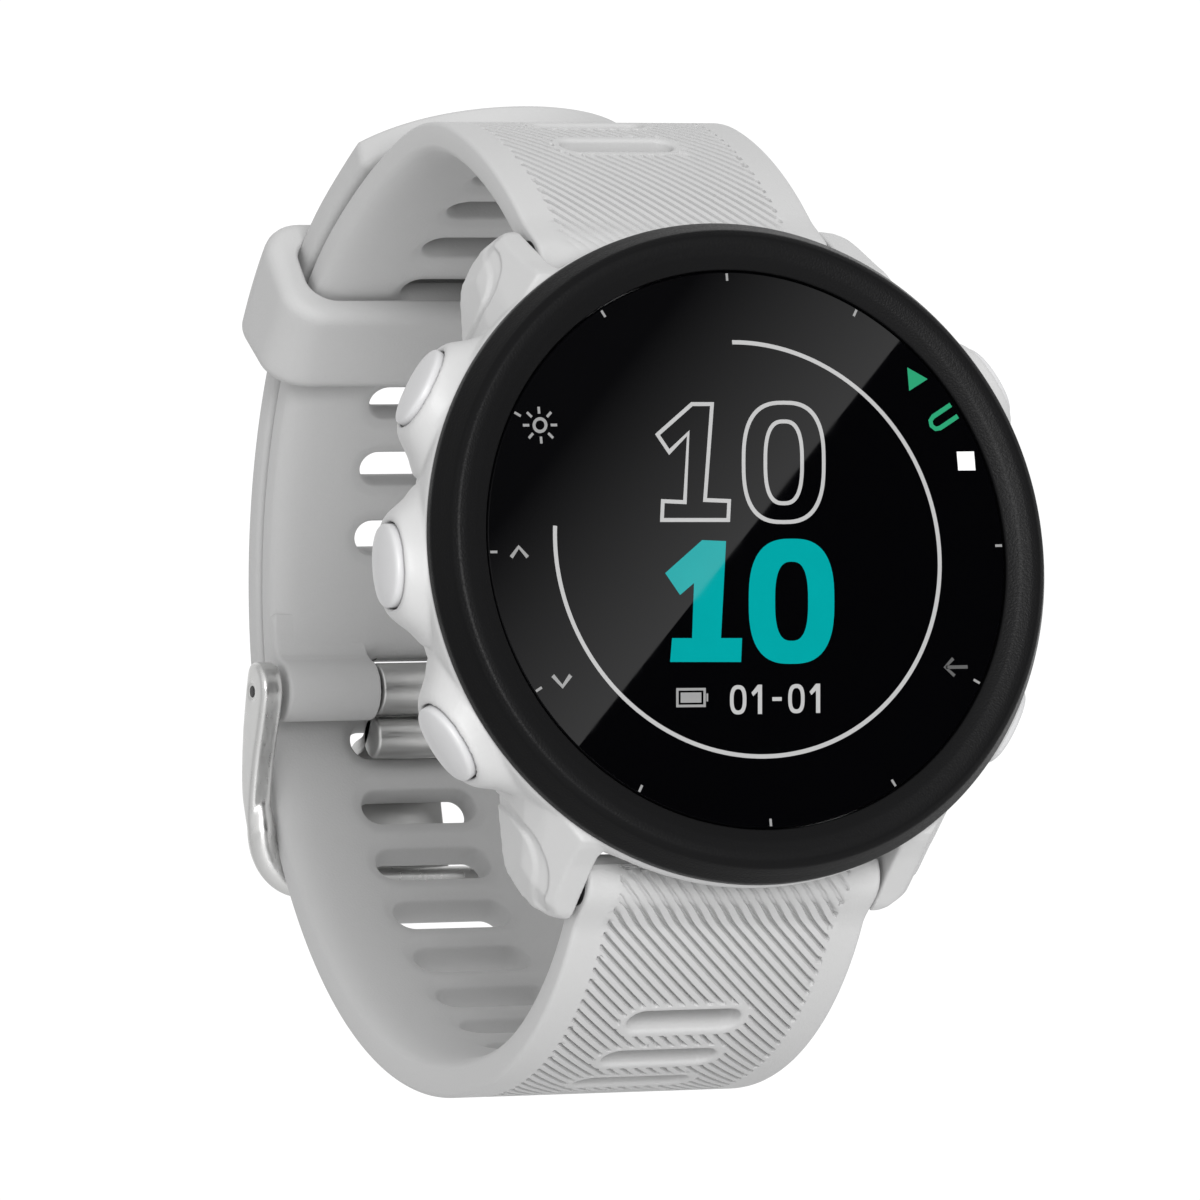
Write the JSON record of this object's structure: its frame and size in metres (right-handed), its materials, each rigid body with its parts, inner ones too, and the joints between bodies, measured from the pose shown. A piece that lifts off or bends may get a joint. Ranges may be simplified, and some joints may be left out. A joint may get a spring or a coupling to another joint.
{
  "type": "gps running watch",
  "caption": "Round sports watch with a black bezel, side buttons and a fastened silicone strap with oblong slots, a keeper loop and a wide-tongued steel buckle.",
  "frame": {"origin": "centre of the sensor window's outer face, the flat that rests on the wrist", "axes": "+Z from the dial's centre towards 12 o'clock, +X towards 3 o'clock, +Y out of the back of the case into the wrist; the dial faces -Y"},
  "size_m": [0.0438, 0.0615, 0.0645],
  "materials": {
    "case": "fine matt moulded",
    "bezel": "fine grained matt",
    "lens": "polished",
    "display": "smooth",
    "white_film": "matt",
    "black_polymer": "matt",
    "antenna": "plated",
    "circuit_board": "satin solder resist",
    "steel": "satin",
    "beeper": "satin",
    "motor_weight": "smooth sintered",
    "battery_foil": "satin foil",
    "sensor_window": "polished",
    "back_cover": "fine matt moulded",
    "contact_gold": "plated",
    "black_rubber": "matt",
    "button": "fine satin moulded",
    "strap": "matt silicone",
    "buckle_steel": "brushed flats, polished edges"
  },
  "bodies": {
    "case": {"case_middle": "case", "bezel": "bezel", "lens": "lens", "lens_gasket": "black_rubber", "display_panel": "display", "display_backlight": "white_film", "display_holder": "black_polymer", "gps_antenna": "antenna", "main_board": "circuit_board", "processor_shield": "steel", "beeper": "beeper", "vibration_motor_housing": "steel", "chassis": "black_polymer", "battery": "battery_foil", "sensor_board": "circuit_board", "sensor_window": "sensor_window", "back_cover": "back_cover", "back_gasket": "black_rubber", "back_screw_1": "steel", "back_screw_2": "steel", "back_screw_3": "steel", "back_screw_4": "steel", "charging_contact_1": "contact_gold", "charging_contact_2": "contact_gold", "charging_contact_3": "contact_gold", "charging_contact_4": "contact_gold", "button_light_switch": "black_polymer", "button_up_switch": "black_polymer", "button_down_switch": "black_polymer", "button_start_switch": "black_polymer", "button_back_switch": "black_polymer", "spring_bar_upper": "steel", "spring_bar_lower": "steel", "strap_upper": "strap", "strap_lower": "strap", "buckle_pin": "buckle_steel"},
    "button_light": {"button_light": "button", "button_light_o_ring": "black_rubber", "button_light_clip": "steel"},
    "button_up": {"button_up": "button", "button_up_o_ring": "black_rubber", "button_up_clip": "steel"},
    "button_down": {"button_down": "button", "button_down_o_ring": "black_rubber", "button_down_clip": "steel"},
    "button_start": {"button_start": "button", "button_start_o_ring": "black_rubber", "button_start_clip": "steel"},
    "button_back": {"button_back": "button", "button_back_o_ring": "black_rubber", "button_back_clip": "steel"},
    "motor_rotor": {"vibration_motor_rotor": "motor_weight"},
    "release_upper": {"release_pin_upper": "steel"},
    "release_lower": {"release_pin_lower": "steel"},
    "keeper": {"strap_keeper": "strap"},
    "buckle_frame": {"buckle_frame": "buckle_steel"},
    "buckle_tongue": {"buckle_tongue": "buckle_steel"}
  },
  "joints": [
    {"name": "press_light", "type": "slide", "parent": "case", "child": "button_light", "axis": [0.866, 0, -0.5], "range_m": [0, 0.0005], "stiffness_N_per_m": 2500, "springref_m": -0.0004},
    {"name": "press_up", "type": "slide", "parent": "case", "child": "button_up", "axis": [1, 0, 0], "range_m": [0, 0.0005], "stiffness_N_per_m": 2500, "springref_m": -0.0004},
    {"name": "press_down", "type": "slide", "parent": "case", "child": "button_down", "axis": [0.866, 0, 0.5], "range_m": [0, 0.0005], "stiffness_N_per_m": 2500, "springref_m": -0.0004},
    {"name": "press_start", "type": "slide", "parent": "case", "child": "button_start", "axis": [-0.866, 0, -0.5], "range_m": [0, 0.0005], "stiffness_N_per_m": 2500, "springref_m": -0.0004},
    {"name": "press_back", "type": "slide", "parent": "case", "child": "button_back", "axis": [-0.866, 0, 0.5], "range_m": [0, 0.0005], "stiffness_N_per_m": 2500, "springref_m": -0.0004},
    {"name": "motor_spin", "type": "hinge", "parent": "case", "child": "motor_rotor", "pos_m": [0, -0.0052, -0.0084], "axis": [0, 1, 0], "continuous": true},
    {"name": "upper_bar_release", "type": "slide", "parent": "case", "child": "release_upper", "axis": [-1, 0, 0], "range_m": [0, 0.0013], "stiffness_N_per_m": 2500, "springref_m": -0.0006},
    {"name": "lower_bar_release", "type": "slide", "parent": "case", "child": "release_lower", "axis": [-1, 0, 0], "range_m": [0, 0.0013], "stiffness_N_per_m": 2500, "springref_m": -0.0006},
    {"name": "keeper_slide", "type": "hinge", "parent": "case", "child": "keeper", "pos_m": [0, 0.01867, 0.00322], "axis": [1, 0, 0], "range_deg": [-4, 8]},
    {"name": "buckle_frame_turn", "type": "hinge", "parent": "case", "child": "buckle_frame", "pos_m": [0, 0.0438, -0.0001], "axis": [1, 0, 0], "range_deg": [0, 2.2]},
    {"name": "tongue_turn", "type": "hinge", "parent": "buckle_frame", "child": "buckle_tongue", "pos_m": [0, 0.0438, -0.0001], "axis": [1, 0, 0], "range_deg": [0, 1.3]}
  ]
}
